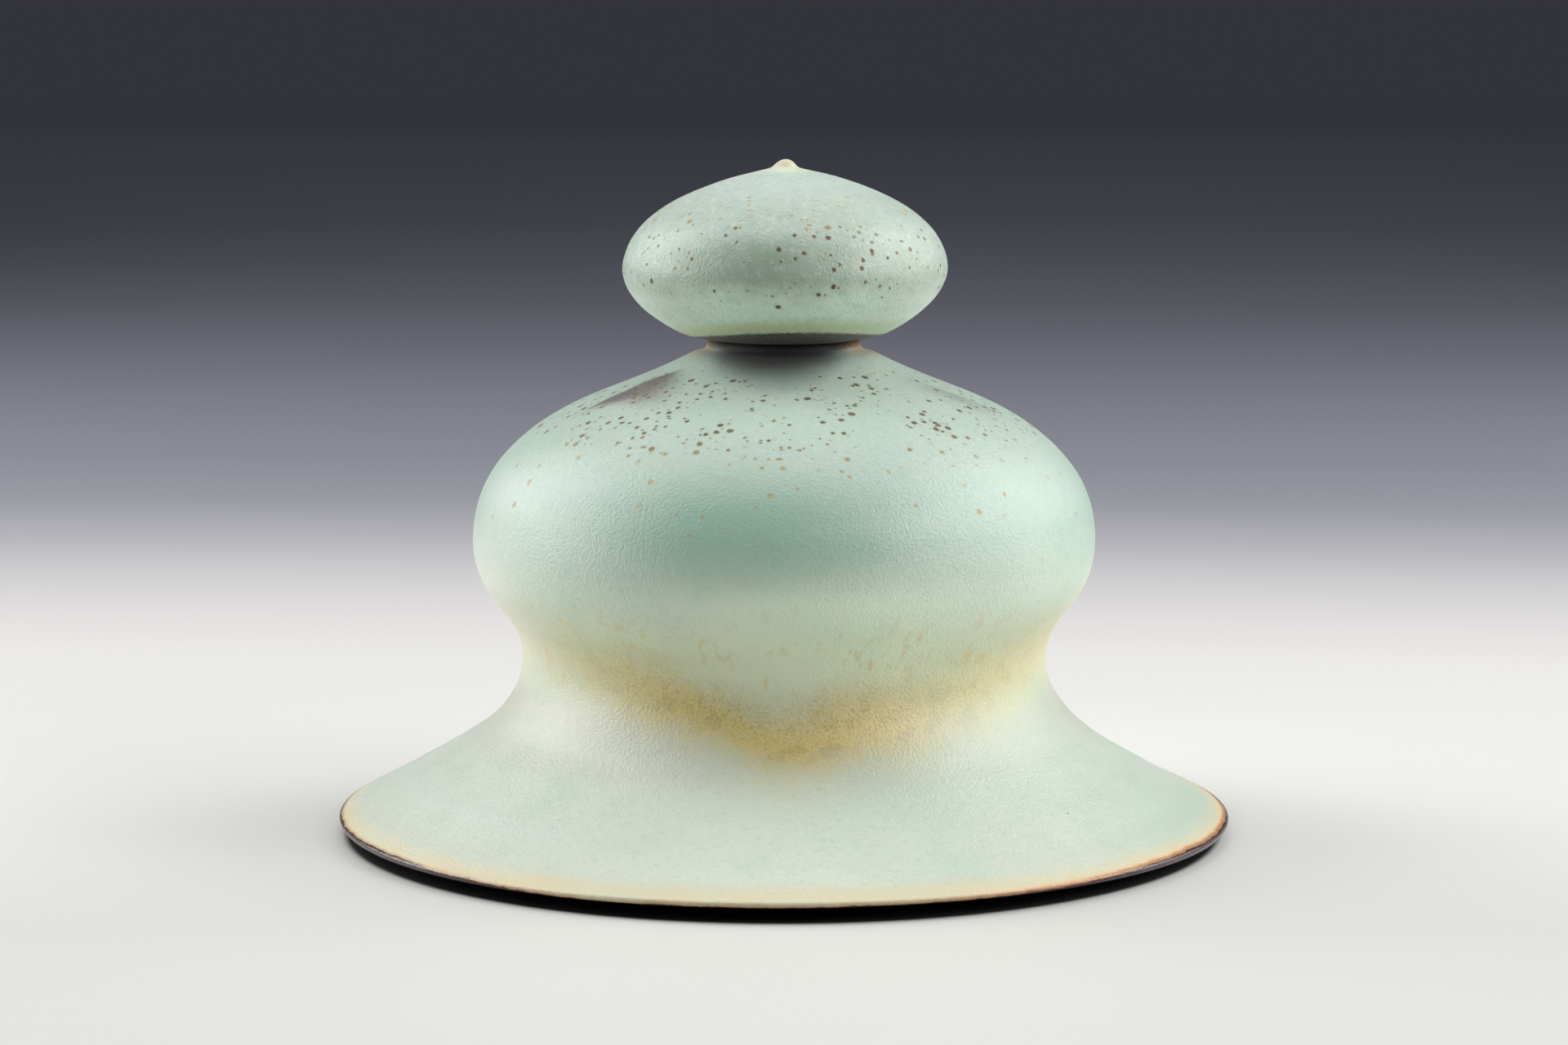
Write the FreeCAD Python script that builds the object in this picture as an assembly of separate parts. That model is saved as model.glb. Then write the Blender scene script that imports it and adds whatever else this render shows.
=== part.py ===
import FreeCAD, Part
import math
import os

# Lidded narrow-necked vessel with a flared foot, and its loose bulb-shaped stopper.
# Every section is a body of revolution about +Z. Millimetres. The origin is the middle
# of the foot ring, on the plane that the vessel stands on.

# ---------------------------------------------------------------- driving dimensions
RIM_R = 80.0          # radius of the flared foot at its lip, the widest point
LIP_H = 3.0           # height of the lip's widest circle above the standing plane

WAIST_Z = 31.0        # the two thrown sections of the vessel are luted here
WALL_FOOT = 5.0       # wall thickness just above the floor, normal to the surface
WALL_WAIST = 4.6      # the same at the waist
WALL_BULB = 3.8       # the same round the bulb
WALL_SHOULDER = 3.4   # the same on the shoulder, near the mouth

MOUTH_Z = 88.2        # top of the mouth's rim, where the stopper sits
MOUTH_R_OUT = 13.7    # outer radius of the mouth's short collar
MOUTH_R_IN = 11.0     # bore of the mouth
RIM_ROUND = 0.45      # rounding of the rim's two edges

FOOT_R_OUT = 60.5     # outer radius of the turned foot ring
FOOT_R_IN = 54.5      # inner radius of the foot ring
FOOT_H = 5.2          # depth of the recess inside the foot ring
FOOT_EASE = 0.8       # easing of the standing edges
FLOOR_Z = 10.8        # inside floor of the vessel, at its middle

TENON_R_TOP = 10.4    # the stopper's tenon, under the seat
TENON_R_END = 9.9     # the tenon's lower end: it tapers a little
TENON_BORE = 7.0      # the tenon is a tube, open into the hollow stopper
TENON_LEN = 11.5      # how far the tenon reaches down into the mouth
TENON_EASE = 0.5
STOPPER_WALL = 3.8    # wall thickness of the hollow stopper

# Outer profile of the vessel, (height above the lip's widest circle, radius).
VESSEL_OUT = [
    (0.55, 79.45), (1.60, 77.55), (4.00, 72.75), (7.20, 66.95), (10.40, 61.35),
    (13.60, 56.45), (16.80, 52.50), (20.00, 49.80), (23.20, 47.95), (28.00, 47.00),
    (32.80, 47.90), (36.00, 49.75), (40.00, 52.75), (44.80, 55.00), (49.60, 55.60),
    (54.40, 55.10), (59.20, 53.50), (63.20, 51.00), (67.20, 47.20), (70.40, 43.00),
    (73.60, 37.30), (76.80, 29.70), (80.00, 21.90), (82.30, 17.10),
]

# Outer profile of the stopper, (radius, height above the lip's widest circle).
STOPPER_OUT = [
    (14.20, 85.32), (16.40, 85.72), (18.90, 86.60), (21.90, 88.35), (25.90, 91.60),
    (28.20, 94.90), (28.90, 97.60), (28.55, 100.10), (27.20, 103.20), (24.00, 106.80),
    (19.80, 109.60), (15.75, 111.50), (12.20, 112.85), (8.85, 113.92), (6.30, 114.56),
    (4.60, 114.96),
]
TIP_Z = 116.98        # top of the pulled point, above the lip's widest circle


def vec(r, z):
    return FreeCAD.Vector(r, 0.0, z)


def unit(a, b):
    d = math.hypot(a, b)
    return (a / d, b / d)


def curve(points, start, end):
    """A smooth curve through (r, z) points with the two end directions."""
    c = Part.BSplineCurve()
    c.interpolate(Points=[vec(r, z) for r, z in points],
                  InitialTangent=vec(*start), FinalTangent=vec(*end))
    return c


def blend(a, ta, b, tb, ka, kb):
    """A cubic from a, leaving along ta, to b, arriving along tb."""
    ta, tb = unit(*ta), unit(*tb)
    c = Part.BezierCurve()
    c.setPoles([vec(*a), vec(a[0] + ta[0] * ka, a[1] + ta[1] * ka),
                vec(b[0] - tb[0] * kb, b[1] - tb[1] * kb), vec(*b)])
    return c.toShape()


def line(a, b):
    return Part.LineSegment(vec(*a), vec(*b)).toShape()


def revolve(edges):
    """Turn a closed outline in the XZ half plane all the way round Z."""
    wire = Part.Wire(edges)
    face = Part.Face(wire)
    solid = face.revolve(FreeCAD.Vector(0, 0, 0), FreeCAD.Vector(0, 0, 1), 360.0)
    if solid.ShapeType != "Solid":
        solid = solid.Solids[0]
    if solid.Volume < 0:
        solid.reverse()
    return solid


def sample(c, n):
    """n + 1 (point, unit left normal, unit tangent) along a curve."""
    a, b = c.FirstParameter, c.LastParameter
    out = []
    for i in range(n + 1):
        u = a + (b - a) * i / n
        p = c.value(u)
        t = c.tangent(u)[0]
        out.append(((p.x, p.z), (-t.z, t.x), (t.x, t.z)))
    return out


def split_at(c, z):
    """The parameter where a rising curve crosses a height."""
    lo, hi = c.FirstParameter, c.LastParameter
    for _ in range(80):
        mid = 0.5 * (lo + hi)
        if c.value(mid).z < z:
            lo = mid
        else:
            hi = mid
    return 0.5 * (lo + hi)


def smooth_table(x, table):
    if x <= table[0][0]:
        return table[0][1]
    for (x0, y0), (x1, y1) in zip(table, table[1:]):
        if x <= x1:
            s = (x - x0) / (x1 - x0)
            s = s * s * (3 - 2 * s)
            return y0 + (y1 - y0) * s
    return table[-1][1]


def thin(points, n):
    """About n of the points, evenly spaced in number, with both ends kept."""
    idx = sorted({round(i * (len(points) - 1) / (n - 1)) for i in range(n)})
    return [points[i] for i in idx]


# ---------------------------------------------------------------- vessel, outside
out_pts = [(r, z + LIP_H) for z, r in VESSEL_OUT]
out_start, out_end = unit(-0.905, 0.425), unit(-0.890, 0.456)
outer = curve(out_pts, out_start, out_end)
u_waist = split_at(outer, WAIST_Z)
r_waist = outer.value(u_waist).x
outer_low = outer.toShape(outer.FirstParameter, u_waist)
outer_high = outer.toShape(u_waist, outer.LastParameter)

# ---------------------------------------------------------------- vessel, inside wall
wall = [(15.0, WALL_FOOT), (WAIST_Z, WALL_WAIST), (52.0, WALL_BULB), (78.0, WALL_SHOULDER)]
inner = []
for (r, z), (nx, nz), t in sample(outer, 600):
    w = smooth_table(z, wall)
    # travelling upwards, the left normal points to the inside
    inner.append(((r + nx * w, z + nz * w), t))
low = [p for p in inner if FLOOR_Z + 6.6 < p[0][1] < WAIST_Z]
high = [p for p in inner if p[0][1] > WAIST_Z and p[0][0] > MOUTH_R_IN + 5.0]
s = (WAIST_Z - low[-1][0][1]) / (high[0][0][1] - low[-1][0][1])
r_in_waist = low[-1][0][0] + (high[0][0][0] - low[-1][0][0]) * s
t_waist = unit(low[-1][1][0] + high[0][1][0], low[-1][1][1] + high[0][1][1])
low_pts = thin([p[0] for p in low[:-6]], 9) + [(r_in_waist, WAIST_Z)]
high_pts = [(r_in_waist, WAIST_Z)] + thin([p[0] for p in high[8:]], 17)
wall_low = curve(low_pts, low[0][1], t_waist)
wall_high = curve(high_pts, t_waist, high[-1][1])

# ---------------------------------------------------------------- flared base section
# The floor, the wide skirt that overhangs the foot ring, and the wall up to the waist.
lip_top = out_pts[0]
lip_nose = (RIM_R, LIP_H)
lip_low = (RIM_R - 0.85, LIP_H - 0.88)
under_end = (FOOT_R_OUT + 1.6, LIP_H + 5.70)
under = curve([lip_low, (77.0, LIP_H - 0.42), (73.0, LIP_H + 1.20), (68.5, LIP_H + 3.15),
               (64.6, LIP_H + 4.85), under_end], unit(-1.0, 0.02), unit(-0.97, 0.24))
fillet_end = (FOOT_R_OUT, LIP_H + 4.55)

corner_start = (40.0, FLOOR_Z + 0.50)
floor_dir = unit(1.0, 0.045)
floor = curve([(0.0, FLOOR_Z), (20.0, FLOOR_Z + 0.13), corner_start], (1.0, 0.0), floor_dir)

base_edges = [
    outer_low,
    line((r_waist, WAIST_Z), (r_in_waist, WAIST_Z)),
    wall_low.toShape(),
    blend(corner_start, floor_dir, low_pts[0], low[0][1], 7.6, 5.0),
    floor.toShape(),
    line((0.0, FLOOR_Z), (0.0, FOOT_H)),
    line((0.0, FOOT_H), (FOOT_R_OUT, FOOT_H)),
    line((FOOT_R_OUT, FOOT_H), fillet_end),
    blend(fillet_end, (0.0, 1.0), under_end, (0.97, -0.24), 0.80, 0.90),
    under.toShape(),
    blend(lip_low, (1.0, -0.02), lip_nose, (0.0, 1.0), 0.42, 0.42),
    blend(lip_nose, (0.0, 1.0), lip_top, out_start, 0.34, 0.28),
]
flared_base = revolve(base_edges)

# ---------------------------------------------------------------- foot ring
# Turned from the base and left bare. Its standing face is flat, its edges are eased.
E = FOOT_EASE
ro, ri = FOOT_R_OUT - 0.5, FOOT_R_IN + 0.7
foot_edges = [
    line((FOOT_R_IN, FOOT_H), (FOOT_R_OUT, FOOT_H)),
    line((FOOT_R_OUT, FOOT_H), (ro, E)),
    blend((ro, E), (-0.11, -1.0), (ro - E, 0.0), (-1.0, 0.0), 0.44, 0.44),
    line((ro - E, 0.0), (ri + E, 0.0)),
    blend((ri + E, 0.0), (-1.0, 0.0), (ri, E), (-0.16, 1.0), 0.44, 0.44),
    line((ri, E), (FOOT_R_IN, FOOT_H)),
]
foot_ring = revolve(foot_edges)

# ---------------------------------------------------------------- bulb section
# From the waist out to the bulb, over the shoulder and in to the mouth.
q = RIM_ROUND
w_end = high_pts[-1]
bore_foot = (MOUTH_R_IN, w_end[1] + 4.6)
collar = (MOUTH_R_OUT, MOUTH_Z - 1.0)
bulb_edges = [
    outer_high,
    blend(out_pts[-1], out_end, collar, (-0.10, 1.0), 2.1, 1.2),
    blend(collar, (-0.10, 1.0), (MOUTH_R_OUT - 0.75, MOUTH_Z), (-1.0, 0.0), 0.55, 0.36),
    line((MOUTH_R_OUT - 0.75, MOUTH_Z), (MOUTH_R_IN + q, MOUTH_Z)),
    blend((MOUTH_R_IN + q, MOUTH_Z), (-1.0, 0.0), (MOUTH_R_IN, MOUTH_Z - q), (0.0, -1.0), 0.25, 0.25),
    line((MOUTH_R_IN, MOUTH_Z - q), bore_foot),
    blend(w_end, high[-1][1], bore_foot, (0.0, 1.0), 3.0, 2.0),
    wall_high.toShape(),
    line((r_in_waist, WAIST_Z), (r_waist, WAIST_Z)),
]
bulb = revolve(bulb_edges)

# ---------------------------------------------------------------- stopper cap
# A hollow flattened globe, pulled to a small point on top.
cap_pts = [(r, z + LIP_H) for r, z in STOPPER_OUT]
cap_start, cap_end = unit(1.0, 0.14), unit(-0.972, 0.235)
cap_out = curve(cap_pts, cap_start, cap_end)
neck_of_tip = (2.05, TIP_Z + LIP_H - 1.20)
tip = (0.0, TIP_Z + LIP_H)
hollow = []
for (r, z), (nx, nz), t in sample(cap_out, 600):
    hollow.append(((r + nx * STOPPER_WALL, z + nz * STOPPER_WALL), t))
hollow = [p for p in hollow if p[0][0] > 6.0]
a = [i for i, p in enumerate(hollow) if p[0][0] > TENON_BORE + 9.0][0]
hollow = hollow[a:]
hollow_pts = thin([p[0] for p in hollow], 15)
dome = curve(hollow_pts, hollow[0][1], hollow[-1][1])
dome_top = (0.0, hollow_pts[-1][1] + 0.75)
throat = (TENON_BORE, MOUTH_Z + 2.6)
seat_edge = 13.35
cap_edges = [
    line((TENON_BORE, MOUTH_Z), (seat_edge, MOUTH_Z)),
    blend((seat_edge, MOUTH_Z), (1.0, 0.0), cap_pts[0], cap_start, 0.30, 0.30),
    cap_out.toShape(),
    blend(cap_pts[-1], cap_end, neck_of_tip, (-0.72, 0.69), 1.25, 0.62),
    blend(neck_of_tip, (-0.72, 0.69), tip, (-1.0, 0.0), 0.78, 1.05),
    line(tip, dome_top),
    blend(hollow_pts[-1], hollow[-1][1], dome_top, (-1.0, 0.0), 2.0, 3.0),
    dome.toShape(),
    blend(throat, (0.0, 1.0), hollow_pts[0], hollow[0][1], 3.0, 4.6),
    line(throat, (TENON_BORE, MOUTH_Z)),
]
stopper_cap = revolve(cap_edges)

# ---------------------------------------------------------------- stopper tenon
# A short tapered tube that drops into the mouth with 0.6 mm all round.
e = TENON_EASE
z_end = MOUTH_Z - TENON_LEN
tenon_edges = [
    line((TENON_BORE, MOUTH_Z), (TENON_R_TOP, MOUTH_Z)),
    line((TENON_R_TOP, MOUTH_Z), (TENON_R_END, z_end + e)),
    blend((TENON_R_END, z_end + e), (-0.04, -1.0), (TENON_R_END - e, z_end), (-1.0, 0.0), 0.28, 0.28),
    line((TENON_R_END - e, z_end), (TENON_BORE + e, z_end)),
    blend((TENON_BORE + e, z_end), (-1.0, 0.0), (TENON_BORE, z_end + e), (0.0, 1.0), 0.28, 0.28),
    line((TENON_BORE, z_end + e), (TENON_BORE, MOUTH_Z)),
]
stopper_tenon = revolve(tenon_edges)

# ---------------------------------------------------------------- write
nodes = {
    "flared_base": flared_base,
    "foot_ring": foot_ring,
    "bulb": bulb,
    "stopper_cap": stopper_cap,
    "stopper_tenon": stopper_tenon,
}
os.makedirs("parts", exist_ok=True)
for name, shape in nodes.items():
    shape.exportStep("parts/" + name + ".step")
    b = shape.optimalBoundingBox(True)
    print(name, "valid", shape.isValid(), "volume", round(shape.Volume, 1),
          "r", round(b.XMax, 2), "z", round(b.ZMin, 2), round(b.ZMax, 2))
print("waist r out/in", round(r_waist, 3), round(r_in_waist, 3), "bore foot", bore_foot)
print("inside wall low", [(round(a, 2), round(b, 2)) for a, b in low_pts])
print("inside wall high", [(round(a, 2), round(b, 2)) for a, b in high_pts])
print("stopper hollow", [(round(a, 2), round(b, 2)) for a, b in hollow_pts], "dome", dome_top)
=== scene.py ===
import math

import bpy
import numpy as np
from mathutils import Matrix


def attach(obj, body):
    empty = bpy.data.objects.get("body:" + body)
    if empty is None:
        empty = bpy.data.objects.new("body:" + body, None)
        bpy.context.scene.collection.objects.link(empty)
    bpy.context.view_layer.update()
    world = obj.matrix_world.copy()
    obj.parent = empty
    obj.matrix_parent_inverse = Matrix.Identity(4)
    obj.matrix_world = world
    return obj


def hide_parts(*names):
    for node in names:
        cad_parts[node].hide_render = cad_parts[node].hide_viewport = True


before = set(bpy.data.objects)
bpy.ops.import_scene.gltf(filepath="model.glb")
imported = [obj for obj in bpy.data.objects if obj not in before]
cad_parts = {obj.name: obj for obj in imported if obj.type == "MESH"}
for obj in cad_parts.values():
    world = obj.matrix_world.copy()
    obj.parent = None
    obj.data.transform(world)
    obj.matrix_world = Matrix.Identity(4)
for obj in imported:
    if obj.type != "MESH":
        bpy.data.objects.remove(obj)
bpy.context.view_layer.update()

SCENE = bpy.context.scene
MM = 0.001
TAU = 2 * math.pi

# ------------------------------------------------------------------ profiles, in mm
LIP_H = 3.0
RIM_R = 80.0
MOUTH_Z, MOUTH_R_OUT, MOUTH_R_IN = 88.2, 13.7, 11.0
FOOT_R_OUT, FOOT_R_IN, FOOT_H = 60.5, 54.5, 5.2
FLOOR_Z = 10.8
TENON_R_TOP, TENON_R_END, TENON_BORE, TENON_LEN = 10.4, 9.9, 7.0, 11.5
STOPPER_WALL = 3.8
TIP_Z = 116.98

VESSEL_OUT = [
    (0.55, 79.45), (1.60, 77.55), (4.00, 72.75), (7.20, 66.95), (10.40, 61.35),
    (13.60, 56.45), (16.80, 52.50), (20.00, 49.80), (23.20, 47.95), (28.00, 47.00),
    (32.80, 47.90), (36.00, 49.75), (40.00, 52.75), (44.80, 55.00), (49.60, 55.60),
    (54.40, 55.10), (59.20, 53.50), (63.20, 51.00), (67.20, 47.20), (70.40, 43.00),
    (73.60, 37.30), (76.80, 29.70), (80.00, 21.90), (82.30, 17.10),
]
STOPPER_OUT = [
    (14.20, 85.32), (16.40, 85.72), (18.90, 86.60), (21.90, 88.35), (25.90, 91.60),
    (28.20, 94.90), (28.90, 97.60), (28.55, 100.10), (27.20, 103.20), (24.00, 106.80),
    (19.80, 109.60), (15.75, 111.50), (12.20, 112.85), (8.85, 113.92), (6.30, 114.56),
    (4.60, 114.96),
]


def unit(a, b):
    d = math.hypot(a, b)
    return (a / d, b / d)


def spline(points, t0, t1, per=14):
    """A C2 cubic through the points, by chord length, with the two end directions. Rows of (r, z)."""
    p = np.array(points, float)
    h = np.hypot(*np.diff(p, axis=0).T)
    n = len(p)
    a = np.zeros((n, n))
    b = np.zeros((n, 2))
    a[0, 0] = a[-1, -1] = 1.0
    b[0], b[-1] = unit(*t0), unit(*t1)
    for i in range(1, n - 1):
        a[i, i - 1], a[i, i], a[i, i + 1] = h[i], 2 * (h[i] + h[i - 1]), h[i - 1]
        b[i] = 3 * (h[i] * (p[i] - p[i - 1]) / h[i - 1] + h[i - 1] * (p[i + 1] - p[i]) / h[i])
    m = np.linalg.solve(a, b)
    out = [p[0]]
    for i in range(n - 1):
        for k in range(1, per + 1):
            s = k / per
            out.append((2 * s**3 - 3 * s**2 + 1) * p[i] + (s**3 - 2 * s**2 + s) * h[i] * m[i]
                       + (3 * s**2 - 2 * s**3) * p[i + 1] + (s**3 - s**2) * h[i] * m[i + 1])
    return np.array(out)


def blend(a, ta, b, tb, ka, kb, n=14):
    ta, tb = unit(*ta), unit(*tb)
    p = [np.array(a, float), np.array([a[0] + ta[0] * ka, a[1] + ta[1] * ka]),
         np.array([b[0] - tb[0] * kb, b[1] - tb[1] * kb]), np.array(b, float)]
    s = np.linspace(0, 1, n + 1)[:, None]
    return (1 - s)**3 * p[0] + 3 * (1 - s)**2 * s * p[1] + 3 * (1 - s) * s**2 * p[2] + s**3 * p[3]


def line(a, b, n=2):
    s = np.linspace(0, 1, n + 1)[:, None]
    return (1 - s) * np.array(a, float) + s * np.array(b, float)


def chain(*parts):
    out = [parts[0]]
    for p in parts[1:]:
        out.append(p[1:] if np.hypot(*(p[0] - out[-1][-1])) < 1e-6 else p)
    return np.vstack(out)


def resample(p, step):
    """Even spacing along the path. step is a number, or a function of (r, z) giving the spacing there."""
    d = np.hypot(*np.diff(p, axis=0).T)
    s = np.r_[0, np.cumsum(d)]
    if not callable(step):
        n = max(2, int(round(s[-1] / step)))
        u = np.linspace(0, s[-1], n + 1)
    else:
        g = np.linspace(0, s[-1], 4000)
        r, z = np.interp(g, s, p[:, 0]), np.interp(g, s, p[:, 1])
        dens = 1.0 / np.array([step(a, b) for a, b in zip(r, z)])
        c = np.r_[0, np.cumsum(0.5 * (dens[1:] + dens[:-1]) * np.diff(g))]
        n = max(2, int(round(c[-1])))
        u = np.interp(np.linspace(0, c[-1], n + 1), c, g)
    return np.stack([np.interp(u, s, p[:, 0]), np.interp(u, s, p[:, 1])], 1)


def smooth_table(x, table):
    x = np.asarray(x, float)
    xs = [t[0] for t in table]
    ys = [t[1] for t in table]
    out = np.full(x.shape, ys[0], float)
    for i in range(len(xs) - 1):
        s = np.clip((x - xs[i]) / (xs[i + 1] - xs[i]), 0, 1)
        s = s * s * (3 - 2 * s)
        out = np.where(x >= xs[i], ys[i] + (ys[i + 1] - ys[i]) * s, out)
    return out


def offset(p, dist):
    """The path moved to its left by dist, one value or one per point."""
    t = np.gradient(p, axis=0)
    t /= np.hypot(*t.T)[:, None]
    n = np.stack([-t[:, 1], t[:, 0]], 1)
    return p + n * np.reshape(dist, (-1, 1)), t


# vessel: outside, inside and underside
out_pts = [(r, z + LIP_H) for z, r in VESSEL_OUT]
OUT_START, OUT_END = unit(-0.905, 0.425), unit(-0.890, 0.456)
outer = spline(out_pts, OUT_START, OUT_END)
wall = smooth_table(outer[:, 1], [(15.0, 5.0), (31.0, 4.6), (52.0, 3.8), (78.0, 3.4)])
inner, inner_t = offset(outer, wall)
keep = (inner[:, 1] > FLOOR_Z + 6.6) & (inner[:, 0] > MOUTH_R_IN + 5.0)
inner, inner_t = inner[keep], inner_t[keep]
collar = (MOUTH_R_OUT, MOUTH_Z - 1.0)
bore_foot = (MOUTH_R_IN, inner[-1][1] + 4.6)
corner_start = (40.0, FLOOR_Z + 0.50)
lip_nose = (RIM_R, LIP_H)
lip_low = (RIM_R - 0.85, LIP_H - 0.88)
under_end = (FOOT_R_OUT + 1.6, LIP_H + 5.70)
under = spline([lip_low, (77.0, LIP_H - 0.42), (73.0, LIP_H + 1.20), (68.5, LIP_H + 3.15),
                (64.6, LIP_H + 4.85), under_end], (-1.0, 0.02), (-0.97, 0.24))
vessel_path = chain(
    line((0.0, FOOT_H), (FOOT_R_IN + 1.0, FOOT_H), 20),
    line((FOOT_R_IN + 1.0, FOOT_H), (FOOT_R_OUT - 0.02, FOOT_H)),
    line((FOOT_R_OUT - 0.02, FOOT_H), (FOOT_R_OUT, LIP_H + 4.55), 4),
    blend((FOOT_R_OUT, LIP_H + 4.55), (0.0, 1.0), under_end, (0.97, -0.24), 0.80, 0.90),
    under[::-1],
    blend(lip_low, (1.0, -0.02), lip_nose, (0.0, 1.0), 0.42, 0.42),
    blend(lip_nose, (0.0, 1.0), out_pts[0], OUT_START, 0.34, 0.28),
    outer,
    blend(out_pts[-1], OUT_END, collar, (-0.10, 1.0), 2.1, 1.2),
    blend(collar, (-0.10, 1.0), (MOUTH_R_OUT - 0.75, MOUTH_Z - 0.05), (-1.0, 0.0), 0.55, 0.36),
    line((MOUTH_R_OUT - 0.75, MOUTH_Z - 0.05), (MOUTH_R_IN + 0.45, MOUTH_Z - 0.05), 4),
    blend((MOUTH_R_IN + 0.45, MOUTH_Z - 0.05), (-1.0, 0.0), (MOUTH_R_IN, MOUTH_Z - 0.5), (0.0, -1.0), 0.25, 0.25, 8),
    line((MOUTH_R_IN, MOUTH_Z - 0.5), bore_foot, 3),
    blend(bore_foot, (0.0, -1.0), tuple(inner[-1]), tuple(-inner_t[-1]), 2.0, 3.0),
    inner[::-1],
    blend(tuple(inner[0]), tuple(-inner_t[0]), corner_start, (-1.0, -0.045), 5.0, 7.6),
    spline([corner_start, (20.0, FLOOR_Z + 0.13), (0.0, FLOOR_Z)], (-1.0, -0.045), (-1.0, 0.0)),
)

# stopper: outside and the hollow inside
cap_pts = [(r, z + LIP_H) for r, z in STOPPER_OUT]
CAP_START, CAP_END = unit(1.0, 0.14), unit(-0.972, 0.235)
cap_out = spline(cap_pts, CAP_START, CAP_END)
tip_neck = (2.05, TIP_Z + LIP_H - 1.20)
tip = (0.0, TIP_Z + LIP_H)
hollow, hollow_t = offset(cap_out, STOPPER_WALL)
first = int(np.argmax(hollow[:, 0] > TENON_BORE + 9.0))
last = len(hollow) - int(np.argmax(hollow[::-1, 0] > 6.0))
hollow, hollow_t = hollow[first:last], hollow_t[first:last]
throat = (TENON_BORE, MOUTH_Z + 2.6)
dome_top = (0.0, hollow[-1][1] + 0.75)
cap_path = chain(
    blend(tip, (1.0, 0.0), tip_neck, (0.72, -0.69), 1.05, 0.78),
    blend(tip_neck, (0.72, -0.69), cap_pts[-1], (-CAP_END[0], -CAP_END[1]), 0.62, 1.25),
    cap_out[::-1],
    blend(cap_pts[0], (-CAP_START[0], -CAP_START[1]), (13.35, MOUTH_Z), (-1.0, 0.0), 0.30, 0.30, 6),
    line((13.35, MOUTH_Z), (TENON_BORE, MOUTH_Z), 8),
    line((TENON_BORE, MOUTH_Z), throat, 4),
    blend(throat, (0.0, 1.0), tuple(hollow[0]), tuple(hollow_t[0]), 3.0, 4.6),
    hollow,
    blend(tuple(hollow[-1]), tuple(hollow_t[-1]), dome_top, (-1.0, 0.0), 2.0, 3.0),
)

# ------------------------------------------------------------------ meshes


def hash_noise(seed):
    """A seeded smooth periodic noise of (angle, height in mm), made of a few waves."""
    rng = np.random.default_rng(seed)
    k = rng.integers(1, 6, 14)
    w = rng.uniform(0.02, 0.16, 14)
    ph = rng.uniform(0, TAU, (14, 2))
    amp = 1.0 / (1.0 + 0.5 * k) / (1 + 6 * w)

    def f(th, z):
        out = 0.0
        for i in range(14):
            out = out + amp[i] * np.sin(k[i] * th + ph[i, 0]) * np.sin(w[i] * TAU * z * 0.35 + ph[i, 1])
        return out / np.sqrt((amp**2).sum() / 4)

    return f


def step01(x, a, b):
    s = np.clip((x - a) / (b - a), 0, 1)
    return s * s * (3 - 2 * s)


def bump01(x, a, b, c, d):
    return step01(x, a, b) * (1 - step01(x, c, d))


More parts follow.
